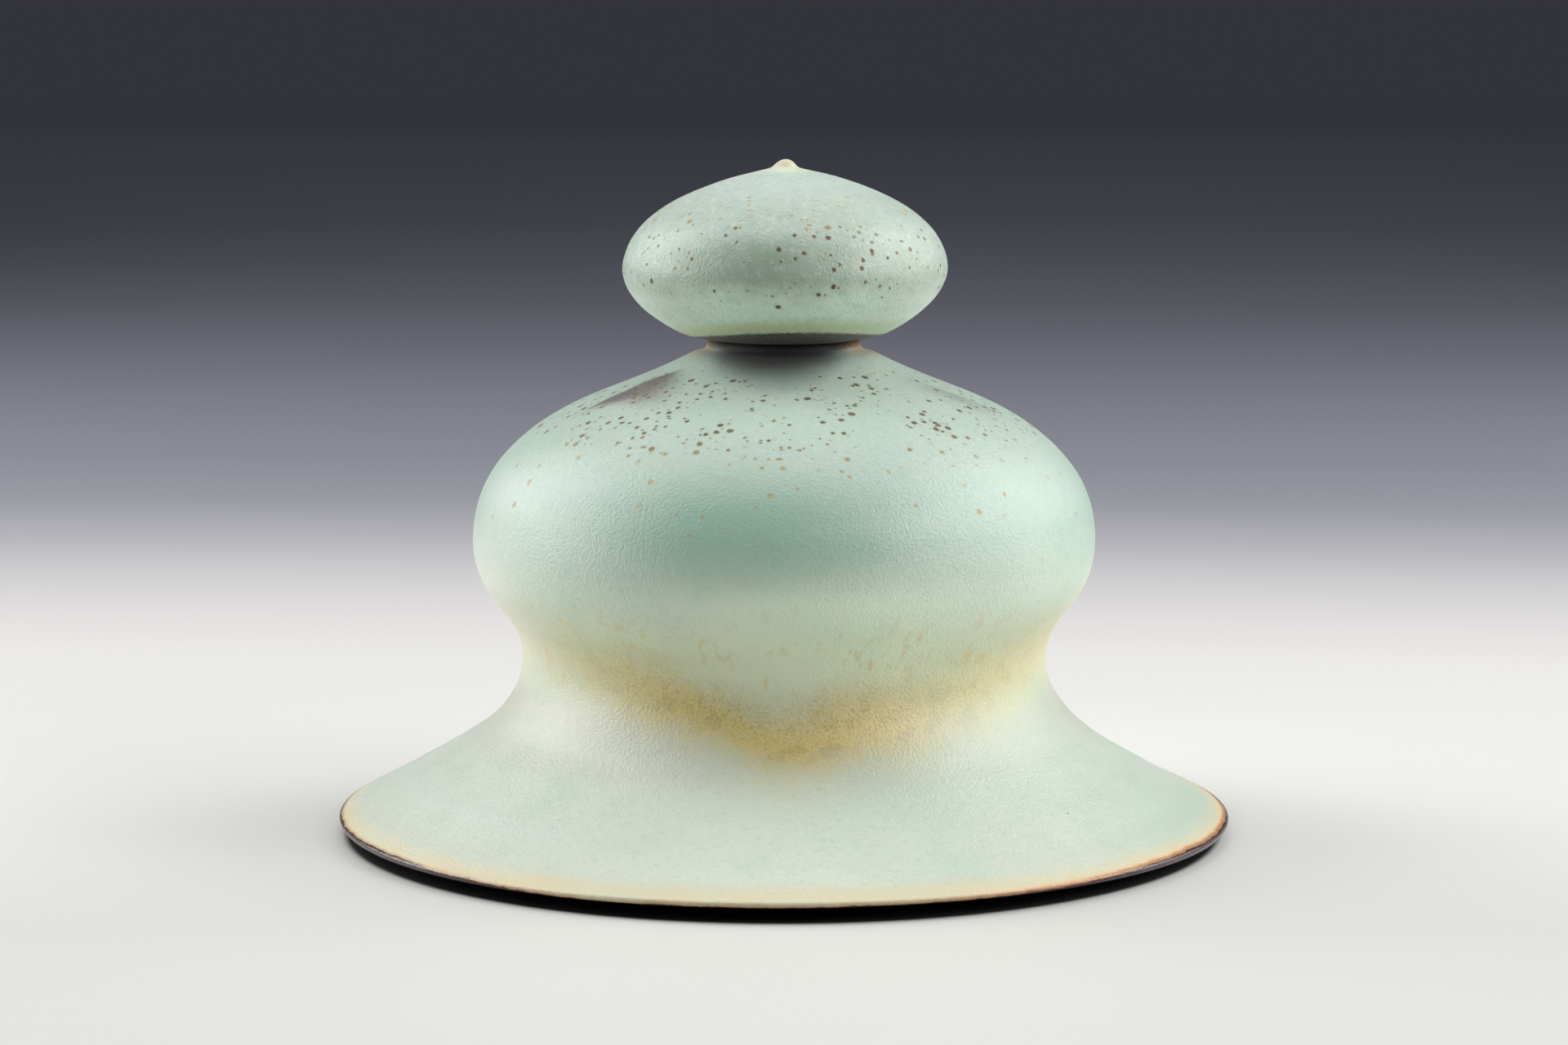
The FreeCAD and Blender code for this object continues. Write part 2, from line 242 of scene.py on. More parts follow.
def turn(name, path, segs, shape=None, closed=False, tag=None):
    """Turns a path of (r, z) in mm round Z. shape(r, z, th, normal_r, normal_z, i) gives new r, z, and extra x, y in mm.
    Where the path starts or ends on the axis it is closed with a fan. tag is one number per point of the path, kept on
    the mesh as "along"."""
    p = np.array(path, float)
    pole0, pole1 = p[0, 0] < 1e-6, p[-1, 0] < 1e-6
    body = p[1 if pole0 else 0: len(p) - (1 if pole1 else 0)]
    t = np.gradient(body, axis=0)
    t /= np.hypot(*t.T)[:, None]
    nr, nz = t[:, 1], -t[:, 0]
    th = np.arange(segs) * TAU / segs
    R = np.repeat(body[:, 0:1], segs, 1)
    Z = np.repeat(body[:, 1:2], segs, 1)
    T = np.repeat(th[None, :], len(body), 0)
    DX = np.zeros_like(R)
    DY = np.zeros_like(R)
    if shape is not None:
        R, Z, DX, DY = shape(R, Z, T, nr[:, None], nz[:, None])
    X, Y = R * np.sin(T) + DX, -R * np.cos(T) + DY
    co = np.stack([X, Y, Z], -1).reshape(-1, 3)
    rows = len(body)
    verts = [co]
    faces_q = []
    i = np.arange(rows - 1 if not closed else rows)[:, None]
    j = np.arange(segs)[None, :]
    i2 = (i + 1) % rows
    j2 = (j + 1) % segs
    q = np.stack([i * segs + j, i * segs + j2, i2 * segs + j2, i2 * segs + j], -1).reshape(-1, 4)
    n = len(co)
    tris = []
    jj = np.arange(segs)
    if pole0:
        c = [0.0, 0.0, p[0, 1]]
        if shape is not None:
            r0, z0, dx, dy = shape(np.array([[0.0]]), np.array([[p[0, 1]]]), np.array([[0.0]]), np.array([[0.0]]), np.array([[1.0]]))
            c = [float(dx[0, 0]), float(dy[0, 0]), float(z0[0, 0])]
        verts.append(np.array([c]))
        tris.append(np.stack([np.full(segs, n), (jj + 1) % segs, jj], -1))
        n += 1
    if pole1:
        c = [0.0, 0.0, p[-1, 1]]
        if shape is not None:
            r0, z0, dx, dy = shape(np.array([[0.0]]), np.array([[p[-1, 1]]]), np.array([[0.0]]), np.array([[0.0]]), np.array([[1.0]]))
            c = [float(dx[0, 0]), float(dy[0, 0]), float(z0[0, 0])]
        verts.append(np.array([c]))
        base = (rows - 1) * segs
        tris.append(np.stack([np.full(segs, n), base + jj, base + (jj + 1) % segs], -1))
        n += 1
    co = np.vstack(verts) * MM
    tri = np.vstack(tris) if tris else np.zeros((0, 3), int)
    me = bpy.data.meshes.new(name)
    loops = np.concatenate([q.ravel(), tri.ravel()]).astype(np.int32)
    starts = np.concatenate([np.arange(len(q)) * 4, len(q) * 4 + np.arange(len(tri)) * 3]).astype(np.int32)
    me.vertices.add(len(co))
    me.vertices.foreach_set("co", co.astype(np.float32).ravel())
    me.loops.add(len(loops))
    me.loops.foreach_set("vertex_index", loops)
    me.polygons.add(len(starts))
    me.polygons.foreach_set("loop_start", starts)
    me.update(calc_edges=True)
    me.validate()
    me.polygons.foreach_set("use_smooth", np.ones(len(me.polygons), bool))
    me.update()
    if tag is not None:
        tag = np.asarray(tag, float)
        mid = tag[1 if pole0 else 0: len(p) - (1 if pole1 else 0)]
        along = np.repeat(mid, segs)
        if pole0:
            along = np.r_[along, tag[0]]
        if pole1:
            along = np.r_[along, tag[-1]]
        at = me.attributes.new("along", "FLOAT", "POINT")
        at.data.foreach_set("value", along.astype(np.float32))
    o = bpy.data.objects.new(name, me)
    SCENE.collection.objects.link(o)
    return o


def along_from(path, r, z):
    """Distance along the path in mm, 0 at its point nearest (r, z)."""
    d = np.r_[0, np.cumsum(np.hypot(*np.diff(path, axis=0).T))]
    return d - d[int(np.argmin(np.hypot(path[:, 0] - r, path[:, 1] - z)))]


def outward(o):
    """Faces point out of the clay."""
    import bmesh
    bm = bmesh.new()
    bm.from_mesh(o.data)
    bmesh.ops.recalc_face_normals(bm, faces=bm.faces)
    if bm.calc_volume(signed=True) < 0:
        bmesh.ops.reverse_faces(bm, faces=bm.faces)
    bm.to_mesh(o.data)
    bm.free()
    o.data.update()


wob_a, wob_b, wob_c = hash_noise(11), hash_noise(23), hash_noise(37)


def shape_vessel(R, Z, T, nr, nz):
    """Hand-thrown: a wider skirt to one side, a breath of ovality, soft throwing rings, a lip that isn't dead level."""
    zz = Z - LIP_H
    inside = (R < 53.0) & (Z > FLOOR_Z - 0.5) & (nr < 0.2) & (R > MOUTH_R_IN - 0.3)
    side = bump01(zz, -1.0, 4.5, 10.0, 18.0)
    d = 0.045 * wob_a(T, Z) * step01(R, 8.0, 16.0)
    d = d + 0.010 * np.sin(TAU * (Z / 5.3 + T / TAU)) * bump01(Z, 16.0, 24.0, 76.0, 84.0)
    skirt = bump01(zz, -2.0, 3.0, 12.0, 20.0)
    d = d + 0.014 * np.sin(TAU * (R / 4.6 + T / TAU)) * skirt
    # bolder rings where nobody sees them from outside
    liner = np.where(inside, 1.0, 0.0) * bump01(Z, 12.0, 20.0, 76.0, 82.0)
    d = d + 0.16 * liner * np.sin(TAU * (Z / 4.1 + T / TAU))
    dr = d * nr
    dz = d * nz
    lean = -0.55 * np.sin(T) * side
    R2 = R + dr + lean * np.where(inside, 0.4, 1.0) + 0.0012 * R * np.cos(2 * (T - 0.6)) * step01(R, 14.0, 30.0)
    flare = step01(R, 62.0, 80.0) * (Z < 12.0)
    Z2 = Z + dz + flare * (0.14 * np.sin(T + 2.1) + 0.09 * np.sin(2 * T + 0.4) + 0.05 * np.sin(3 * T + 1.0))
    # the lip's edge is wiped with a sponge: its roundness wanders a little
    edge = step01(R, 78.2, 79.9) * (Z < 5.0)
    R2 = R2 + edge * 0.07 * wob_b(T * 1.0, 40.0 + 0 * Z)
    return R2, Z2, 0 * R, 0 * R


def fine_vessel(r, z):
    if z < 5.2 and r > 76.8:
        return 0.26                 # the lip
    if z > 85.0 and r < 15.2:
        return 0.24                 # the mouth's rim
    if z < FLOOR_Z + 1.2 and r < 55:
        return 3.2                  # the floor and the recess, which are nearly flat
    if r < 53.0 and FLOOR_Z + 1.2 < z < 84 and r < inside_r(z):
        return 1.5                  # the inside wall
    return 1.05


def inside_r(z):
    """Half way through the wall at a height."""
    return 0.5 * (np.interp(z, inner[:, 1], inner[:, 0]) + np.interp(z, outer[:, 1], outer[:, 0]))


vessel_fine = resample(vessel_path, fine_vessel)
vessel_along = along_from(vessel_fine, RIM_R, LIP_H)
RIM_S = float(vessel_along[int(np.argmin(np.hypot(vessel_fine[:, 0] - 12.6, vessel_fine[:, 1] - MOUTH_Z)))])
vessel = turn("vessel", vessel_fine, 320, shape_vessel, tag=vessel_along)
outward(vessel)

# foot ring: turned on the wheel, its edge eased, fine chatter from the turning tool
foot_path = chain(
    line((FOOT_R_IN, FOOT_H + 0.25), (FOOT_R_OUT, FOOT_H + 0.25), 4),
    line((FOOT_R_OUT, FOOT_H + 0.25), (FOOT_R_OUT - 0.5, 0.8), 10),
    blend((FOOT_R_OUT - 0.5, 0.8), (-0.11, -1.0), (FOOT_R_OUT - 1.3, 0.0), (-1.0, 0.0), 0.44, 0.44, 8),
    line((FOOT_R_OUT - 1.3, 0.0), (FOOT_R_IN + 1.5, 0.0), 10),
    blend((FOOT_R_IN + 1.5, 0.0), (-1.0, 0.0), (FOOT_R_IN + 0.7, 0.8), (-0.16, 1.0), 0.44, 0.44, 8),
    line((FOOT_R_IN + 0.7, 0.8), (FOOT_R_IN, FOOT_H + 0.25), 10),
)[:-1]


def shape_foot(R, Z, T, nr, nz):
    g = 0.05 * np.sin(TAU * Z / 1.1 + T) * bump01(Z, 0.8, 1.4, 3.6, 4.8)
    g = g + 0.03 * wob_c(T, Z * 8)
    return R + g * nr, Z + np.maximum(g * nz, 0) * (Z > 0.4), 0 * R, 0 * R


foot = turn("foot_ring_bare_clay", foot_path, 400, shape_foot, closed=True)
outward(foot)

# stopper: it leans a hair, as the loose fit lets it
LEAN = math.radians(0.35)
LEAN_DX = 0.22


def lean_xy(R, Z, T):
    """Shift of a point when the stopper leans to its left about the seat."""
    up = Z - MOUTH_Z
    return np.full_like(R, 0.0) + LEAN_DX * step01(up, -1.0, 1.5), up


def shape_cap(R, Z, T, nr, nz):
    up = Z - MOUTH_Z
    body = step01(up, 0.4, 6.0)
    d = 0.05 * wob_b(T, Z * 1.7) * step01(R, 3.0, 9.0) * body
    d = d + 0.010 * np.sin(TAU * (Z / 3.9 + T / TAU)) * body * step01(R, 8.0, 14.0)
    R2, Z2 = R + d * nr, Z + d * nz
    # the pulled point leans, and is fuller on one side
    nub = step01(Z, 117.6, 119.4) * (R < 6.0)
    dx = 0.22 * body + 0.18 * nub - 0.26 * nub * step01(R, 0.6, 2.4) * np.maximum(-np.sin(T), 0)
    dy = -0.05 * nub
    # lean about the seat
    X = R2 * np.sin(T)
    Z3 = Z2 + X * math.sin(LEAN) * body
    dx = dx - (Z2 - MOUTH_Z) * math.sin(LEAN) * 0.5 * body
    return R2, Z3, dx * np.ones_like(R), dy * np.ones_like(R)


def fine_cap(r, z):
    if r < 5.5 and z > 117:
        return 0.14
    if z < 90.0 and r < 16:
        return 0.25
    if r < 26 and 92 < z < 113.5 and r < inside_cap(z):
        return 1.3
    return 0.5


def inside_cap(z):
    lo = cap_out[:, 1] < 100.6
    a = np.interp(z, cap_out[lo, 1], cap_out[lo, 0])
    hi = ~lo
    b = np.interp(z, cap_out[hi, 1], cap_out[hi, 0])
    return (a if z < 100.6 else b) - 2.0


cap_fine = resample(cap_path, fine_cap)
cap_along = -along_from(cap_fine, 13.35, MOUTH_Z)
cap = turn("stopper_cap_glazed", cap_fine, 360, shape_cap, tag=cap_along)
outward(cap)

z_end = MOUTH_Z - TENON_LEN
tenon_path = chain(
    line((TENON_BORE, MOUTH_Z + 0.3), (TENON_R_TOP, MOUTH_Z + 0.3), 4),
    line((TENON_R_TOP, MOUTH_Z + 0.3), (TENON_R_END, z_end + 0.5), 40),
    blend((TENON_R_END, z_end + 0.5), (-0.04, -1.0), (TENON_R_END - 0.5, z_end), (-1.0, 0.0), 0.28, 0.28, 6),
    line((TENON_R_END - 0.5, z_end), (TENON_BORE + 0.5, z_end), 8),
    blend((TENON_BORE + 0.5, z_end), (-1.0, 0.0), (TENON_BORE, z_end + 0.5), (0.0, 1.0), 0.28, 0.28, 6),
    line((TENON_BORE, z_end + 0.5), (TENON_BORE, MOUTH_Z + 0.3), 40),
)[:-1]


def shape_tenon(R, Z, T, nr, nz):
    g = 0.05 * np.sin(TAU * (Z / 1.7 + T / TAU)) * bump01(Z, z_end + 0.5, z_end + 1.5, MOUTH_Z - 1.5, MOUTH_Z - 0.3)
    g = g + 0.035 * wob_c(T, Z * 5)
    return R + g * nr, Z + g * nz * (Z < MOUTH_Z), 0 * R, 0 * R


tenon = turn("stopper_tenon_bare_clay", tenon_path, 240, shape_tenon, closed=True)
outward(tenon)

# ------------------------------------------------------------------ materials


def lin(r, g, b, a=1.0):
    """An sRGB colour, 0 to 255, as scene linear."""
    f = lambda v: v / 255 / 12.92 if v / 255 <= 0.04045 else ((v / 255 + 0.055) / 1.055) ** 2.4
    return (f(r), f(g), f(b), a)


class Nodes:
    """A short way to write a shader's nodes."""

    def __init__(self, name):
        self.mat = bpy.data.materials.new(name)
        self.mat.use_nodes = True
        self.t = self.mat.node_tree
        self.t.nodes.clear()
        self.out = self.t.nodes.new("ShaderNodeOutputMaterial")
        self.bsdf = self.t.nodes.new("ShaderNodeBsdfPrincipled")
        self.t.links.new(self.bsdf.outputs[0], self.out.inputs[0])
        tc = self.t.nodes.new("ShaderNodeTexCoord")
        self.p = self.vec("SCALE", tc.outputs["Object"], scale=1000.0)
        sep = self.t.nodes.new("ShaderNodeSeparateXYZ")
        self.t.links.new(self.p, sep.inputs[0])
        self.x, self.y, self.z = sep.outputs
        self.r = self.m("SQRT", self.m("ADD", self.m("MULTIPLY", self.x, self.x), self.m("MULTIPLY", self.y, self.y)))
        # the turn from the front, in radians, positive to the right
        self.th = self.m("ARCTAN2", self.x, self.m("MULTIPLY", self.y, -1.0))

    def put(self, sock, v):
        if isinstance(v, bpy.types.NodeSocket):
            self.t.links.new(v, sock)
        elif v is not None:
            sock.default_value = v

    def m(self, op, a, b=None, c=None, clamp=False):
        n = self.t.nodes.new("ShaderNodeMath")
        n.operation = op
        n.use_clamp = clamp
        self.put(n.inputs[0], a)
        if b is not None:
            self.put(n.inputs[1], b)
        if c is not None:
            self.put(n.inputs[2], c)
        return n.outputs[0]

    def vec(self, op, a, b=None, scale=None):
        n = self.t.nodes.new("ShaderNodeVectorMath")
        n.operation = op
        self.put(n.inputs[0], a)
        if b is not None:
            self.put(n.inputs[1], b)
        if scale is not None:
            self.put(n.inputs["Scale"], scale)
        return n.outputs[0]

    def add(self, *v):
        o = v[0]
        for w in v[1:]:
            o = self.m("ADD", o, w)
        return o

    def mul(self, *v):
        o = v[0]
        for w in v[1:]:
            o = self.m("MULTIPLY", o, w)
        return o

    def inv(self, a):
        return self.m("SUBTRACT", 1.0, a)

    def mx(self, a, b):
        return self.m("MAXIMUM", a, b)

    def step(self, v, a, b, lo=0.0, hi=1.0):
        """Smoothly from lo at a to hi at b."""
        n = self.t.nodes.new("ShaderNodeMapRange")
        n.interpolation_type = "SMOOTHSTEP"
        n.clamp = True
        self.put(n.inputs[0], v)
        for i, q in zip((1, 2, 3, 4), (a, b, lo, hi)):
            self.put(n.inputs[i], q)
        return n.outputs[0]

    def ramp_lin(self, v, a, b, lo=0.0, hi=1.0):
        n = self.t.nodes.new("ShaderNodeMapRange")
        n.clamp = True
        self.put(n.inputs[0], v)
        for i, q in zip((1, 2, 3, 4), (a, b, lo, hi)):
            self.put(n.inputs[i], q)
        return n.outputs[0]

    def band(self, v, a, b, c, d):
        return self.mul(self.step(v, a, b), self.step(v, c, d, 1.0, 0.0))

    def noise(self, size, detail=2.0, rough=0.5, distort=0.0, at=None, shift=0.0):
        """Noise whose features are about size mm across. 0 to 1, about 0.5."""
        v = self.p if at is None else at
        if shift:
            v = self.vec("ADD", v, (shift, shift * 0.7, -shift * 1.3))
        n = self.t.nodes.new("ShaderNodeTexNoise")
        self.put(n.inputs["Vector"], v)
        n.inputs["Scale"].default_value = 1.0 / size
        n.inputs["Detail"].default_value = detail
        n.inputs["Roughness"].default_value = rough
        n.inputs["Distortion"].default_value = distort
        return n.outputs[0]

    def noise_col(self, size, detail=1.0, shift=0.0):
        v = self.p if not shift else self.vec("ADD", self.p, (shift, -shift, shift * 0.6))
        n = self.t.nodes.new("ShaderNodeTexNoise")
        self.put(n.inputs["Vector"], v)
        n.inputs["Scale"].default_value = 1.0 / size
        n.inputs["Detail"].default_value = detail
        return n.outputs[1]

    def warp(self, amount, size, at=None, shift=0.0):
        """The place, pushed about by amount mm."""
        c = self.noise_col(size, 1.0, shift)
        d = self.vec("SUBTRACT", c, (0.5, 0.5, 0.5))
        return self.vec("ADD", self.p if at is None else at, self.vec("SCALE", d, scale=amount * 2))

    def cells(self, size, at, randomness=1.0):
        """Distance in mm to the nearest of a scatter of points about size mm apart, and a colour per point."""
        n = self.t.nodes.new("ShaderNodeTexVoronoi")
        n.feature = "F1"
        self.put(n.inputs["Vector"], at)
        n.inputs["Scale"].default_value = 1.0 / size
        n.inputs["Randomness"].default_value = randomness
        return self.mul(n.outputs["Distance"], size), n.outputs["Color"]

    def split(self, c):
        n = self.t.nodes.new("ShaderNodeSeparateColor")
        self.put(n.inputs[0], c)
        return n.outputs

    def mix(self, f, a, b, mode="MIX"):
        n = self.t.nodes.new("ShaderNodeMix")
        n.data_type = "RGBA"
        n.blend_type = mode
        n.clamp_factor = True
        self.put(n.inputs[0], f)
        self.put(n.inputs[6], a)
        self.put(n.inputs[7], b)
        return n.outputs[2]

    def lerp(self, f, a, b):
        n = self.t.nodes.new("ShaderNodeMix")
        n.data_type = "FLOAT"
        self.put(n.inputs[0], f)
        self.put(n.inputs[2], a)
        self.put(n.inputs[3], b)
        return n.outputs[0]

    def ramp(self, v, stops, kind="EASE"):
        n = self.t.nodes.new("ShaderNodeValToRGB")
        e = n.color_ramp.elements
        n.color_ramp.interpolation = kind
        while len(e) < len(stops):
            e.new(0.5)
        for el, (pos, col) in zip(e, stops):
            el.position = pos
            el.color = col
        self.put(n.inputs[0], v)
        return n.outputs[0]

    def attr(self, name):
        n = self.t.nodes.new("ShaderNodeAttribute")
        n.attribute_type = "GEOMETRY"
        n.attribute_name = name
        return n.outputs["Fac"]

    def bump(self, height, mm, strength=1.0, normal=None):
        n = self.t.nodes.new("ShaderNodeBump")
        n.inputs["Strength"].default_value = strength
        n.inputs["Distance"].default_value = mm * MM
        self.put(n.inputs["Height"], height)
        if normal is not None:
            self.put(n.inputs["Normal"], normal)
        return n.outputs[0]

    def finish(self, color, rough, normal=None, **plain):
        self.put(self.bsdf.inputs["Base Color"], color)
        self.put(self.bsdf.inputs["Roughness"], rough)
        if normal is not None:
            self.t.links.new(normal, self.bsdf.inputs["Normal"])
        for k, v in plain.items():
            self.bsdf.inputs[k.replace("_", " ")].default_value = v
        return self.mat


def speckles(g, size, shift, radius, spread, density, edge=0.12, at=None):
    """Iron spots: about size mm between places, radius to radius + spread mm, kept where a random number is under density.
    Returns how much spot, how much halo, and a number per spot."""
    v = g.warp(0.16, 0.7, at=g.vec("ADD", g.p if at is None else at, (shift, shift, shift)), shift=shift)
    dist, col = g.cells(size, v)
    a, b, c = g.split(col)[:3]
    keep = g.m("LESS_THAN", a, density)
    rad = g.m("MULTIPLY_ADD", g.mul(b, b), spread, radius)
    rim = g.m("SUBTRACT", dist, rad)
    spot = g.mul(keep, g.step(rim, -edge, edge, 1.0, 0.0))
    halo = g.mul(keep, g.step(rim, -edge, edge * 4.5, 1.0, 0.0))
    return spot, halo, c


# the glaze's colour by height: z / 100 for the vessel, (z - 86) / 40 for the stopper
# painted shade: the vessel's dip at 0.19 to 0.24 darkens the waist to tone down its highlight
BODY_RAMP = [
    (0.03, lin(188, 190, 172)), (0.06, lin(186, 194, 180)), (0.10, lin(186, 195, 183)), (0.15, lin(186, 196, 183)),
    (0.19, lin(184, 189, 177)), (0.24, lin(181, 184, 171)), (0.30, lin(190, 197, 176)), (0.36, lin(198, 205, 180)),
    (0.41, lin(204, 213, 188)), (0.46, lin(194, 208, 188)), (0.53, lin(177, 195, 180)), (0.59, lin(164, 186, 171)),
    (0.65, lin(161, 182, 169)), (0.70, lin(164, 183, 170)), (0.76, lin(164, 184, 171)), (0.82, lin(161, 179, 167)),
]
STOPPER_RAMP = [
    (0.05, lin(190, 206, 178)), (0.16, lin(196, 215, 195)), (0.23, lin(186, 202, 186)), (0.31, lin(162, 178, 162)),
    (0.36, lin(157, 172, 158)), (0.46, lin(158, 173, 160)), (0.56, lin(163, 179, 168)), (0.66, lin(161, 176, 165)),
    (0.74, lin(165, 181, 171)), (0.80, lin(166, 182, 172)), (0.84, lin(172, 186, 170)),
]


def mint_glaze(name, stopper=False):
    """Satin copper-mint glaze over iron-speckled stoneware: green where it pools, cream and rust where it thins."""
    g = Nodes(name)
    s = g.attr("along")
    z = g.z
    zz = g.m("SUBTRACT", z, LIP_H)
    cosn = g.m("COSINE", g.th)
    broad = g.noise(55, 2)
    mid = g.noise(11, 3, 0.55, shift=31)
    fine = g.noise(1.15, 2, 0.6, shift=7)
    grain = g.noise(0.42, 1, 0.5, shift=3)
    wav = g.m("SUBTRACT", g.noise(17, 2, shift=57), 0.5)
    wav2 = g.m("SUBTRACT", g.noise(4.2, 2, shift=83), 0.5)

    if not stopper:
        col = g.ramp(g.m("MULTIPLY_ADD", z, 1 / 100, g.mul(g.m("SUBTRACT", broad, 0.5), 0.04)), BODY_RAMP)
        green, pale_and_painted_highlight = lin(136, 172, 152), lin(178, 194, 182)
    else:
        col = g.ramp(g.m("MULTIPLY_ADD", z, 1 / 40, -2.15), STOPPER_RAMP)
        green, pale_and_painted_highlight = lin(140, 166, 148), lin(170, 184, 172)
    col = g.mix(g.mul(g.step(broad, 0.45, 0.75), 0.35), col, green)
    col = g.mix(g.mul(g.step(mid, 0.5, 0.8), 0.22), col, pale_and_painted_highlight)
    col = g.mix(g.mul(g.step(mid, 0.5, 0.25), 0.16), col, green)
    if stopper:
        belly = g.band(g.add(zz, g.mul(wav, 4.0)), 92.5, 95.5, 101.0, 105.0)
        # dust and painted shade: a dusty mottle on the belly, doubled at the front and back as painted shade
        dust_and_painted_shade = g.mul(belly, g.step(g.noise(0.55, 2, 0.6, shift=29), 0.50, 0.66), g.step(g.noise(6.0, 1, shift=33), 0.36, 0.6, 0.35, 1.0))
        not_sides = g.mx(g.step(cosn, 0.30, 0.85), g.step(cosn, 0.1, -0.5))
        col = g.mix(g.mul(dust_and_painted_shade, g.lerp(not_sides, 0.25, 0.50)), col, lin(146, 154, 128))
        # painted light: a paler patch low on the front of the stopper
        painted_light_front = g.mul(g.band(zz, 88.2, 91.0, 94.0, 98.0), g.step(cosn, 0.70, 0.95))
        col = g.mix(g.mul(painted_light_front, 0.40), col, lin(216, 246, 222))
        # painted shade: darker blotches on the belly at the front and back
        shade = g.mul(belly, g.step(g.noise(8.0, 2, shift=39), 0.42, 0.62), not_sides)
        col = g.mix(g.mul(shade, 0.24), col, lin(122, 140, 116))
        # painted shade: a darker green patch on the front of the stopper
        pool_and_painted_shade = g.mul(g.band(g.add(zz, g.mul(wav, 3.0)), 94.5, 98.5, 101.5, 105.5), g.step(g.m("ABSOLUTE", g.add(g.th, 0.16)), 0.06, 0.46, 1.0, 0.0))
        col = g.mix(g.mul(pool_and_painted_shade, 0.42), col, lin(112, 136, 112))
        cloud = g.noise(3.2, 3, 0.6, shift=87)
        col = g.mix(g.mul(g.step(cloud, 0.50, 0.68), 0.22), col, lin(176, 192, 180))
        col = g.mix(g.mul(g.step(cloud, 0.48, 0.32), 0.24), col, lin(132, 160, 140))
        flecks = g.mul(g.band(zz, 102.5, 106.0, 110.0, 112.5), g.step(g.noise(0.75, 2, 0.6, at=g.vec("MULTIPLY", g.p, (1.0, 1.0, 2.2)), shift=45), 0.53, 0.66),
                       g.step(g.noise(9.0, 1, shift=49), 0.38, 0.56))
        col = g.mix(g.mul(flecks, 0.50), col, lin(158, 146, 112))
    # a satin glaze is full of fine crystals
    col = g.mix(g.mul(g.step(fine, 0.5, 0.75), 0.24 if stopper else 0.14), col, lin(205, 216, 205))
    col = g.mix(g.mul(g.step(fine, 0.48, 0.24), 0.30 if stopper else 0.18), col, lin(124, 156, 138))
    col = g.mix(g.mul(g.step(grain, 0.5, 0.25), 0.07), col, lin(110, 130, 112))

    ochre_grain = g.noise(0.46, 2, 0.6, shift=19)
    rough = 0.40
    if not stopper:
        # the ochre band round the waist: a broad V, lowest at the front, with faint runs above it
        deg = g.mul(g.th, 57.2958)
        off = g.m("MINIMUM", g.m("SUBTRACT", g.m("SQRT", g.m("MULTIPLY_ADD", deg, deg, 20.0)), 4.4), 74.0)
        tilt = g.mul(g.m("SINE", g.th), 60.0)
        right = g.mul(g.step(deg, -12.0, 16.0), g.step(deg, 110.0, 174.0, 1.0, 0.0))
        notch = g.step(g.m("ABSOLUTE", g.add(deg, 1.0)), 3.0, 15.0, -1.8, 0.0)
        low = g.add(18.4, g.mul(off, 0.145), g.mul(tilt, -0.045), g.mul(right, -0.9), g.mul(g.step(deg, 26.0, 64.0, 0.0, 2.2), g.step(deg, 110.0, 174.0, 1.0, 0.0)), notch, g.mul(wav, 3.2), g.mul(wav2, 2.6))
        up = g.m("MULTIPLY_ADD", g.m("SUBTRACT", ochre_grain, 0.5), 5.0, g.m("SUBTRACT", zz, low))
        width = g.add(g.lerp(right, 12.0, 14.0), g.mul(g.step(g.m("ABSOLUTE", g.add(deg, 6.0)), 5.0, 22.0, 1.0, 0.0), -1.5))
        runs_at = g.vec("MULTIPLY", g.p, (1.0, 1.0, 0.17))
        runs = g.noise(1.9, 2, 0.55, at=runs_at, shift=11)
        ragged = g.m("MULTIPLY_ADD", g.m("SUBTRACT", runs, 0.5), 5.0, up)
        soft = g.step(g.m("ABSOLUTE", deg), 8.0, 40.0, 1.8, 4.2)
        core = g.mul(g.step(up, g.m("SUBTRACT", -0.9, soft), g.add(2.4, soft)),
                     g.step(ragged, g.mul(width, 0.30), g.mul(width, 1.24), 1.0, 0.0))
        haze = g.mul(g.step(up, -8.5, 3.0), g.step(ragged, 7.0, 22.0, 1.0, 0.0))
        # the band fades towards the left and right sides: partly its own fading, partly painted highlight washing it
        # out
        around = g.mul(g.step(deg, -66.0, -18.0, 0.20, 1.0), g.step(deg, 12.0, 40.0, 1.0, 0.58))
        around = g.lerp(g.step(g.m("ABSOLUTE", deg), 88.0, 170.0), around, 0.44)
        around = g.mx(around, g.mul(g.step(cosn, -0.2, -0.8), 0.8))
        och = g.mix(right, lin(190, 174, 104), lin(200, 180, 118))
        och = g.mix(g.mul(g.step(g.m("ABSOLUTE", g.add(deg, 3.0)), 4.0, 20.0, 1.0, 0.0), g.step(zz, 21.0, 27.0), 0.45), och, lin(142, 142, 94))
        och = g.mix(g.mul(g.step(g.noise(3.4, 2, shift=73), 0.50, 0.64), 0.45), och, lin(148, 128, 68))
        och = g.mix(g.mul(g.step(ochre_grain, 0.42, 0.68), 0.62), och, lin(204, 180, 122))
        och = g.mix(g.mul(g.step(ochre_grain, 0.50, 0.28), 0.56), och, lin(132, 114, 62))
        col = g.mix(g.mul(haze, g.m("MULTIPLY_ADD", around, 0.6, 0.4), 0.30), col, lin(194, 196, 140))
        col = g.mix(g.mul(core, around, 0.94), col, och)
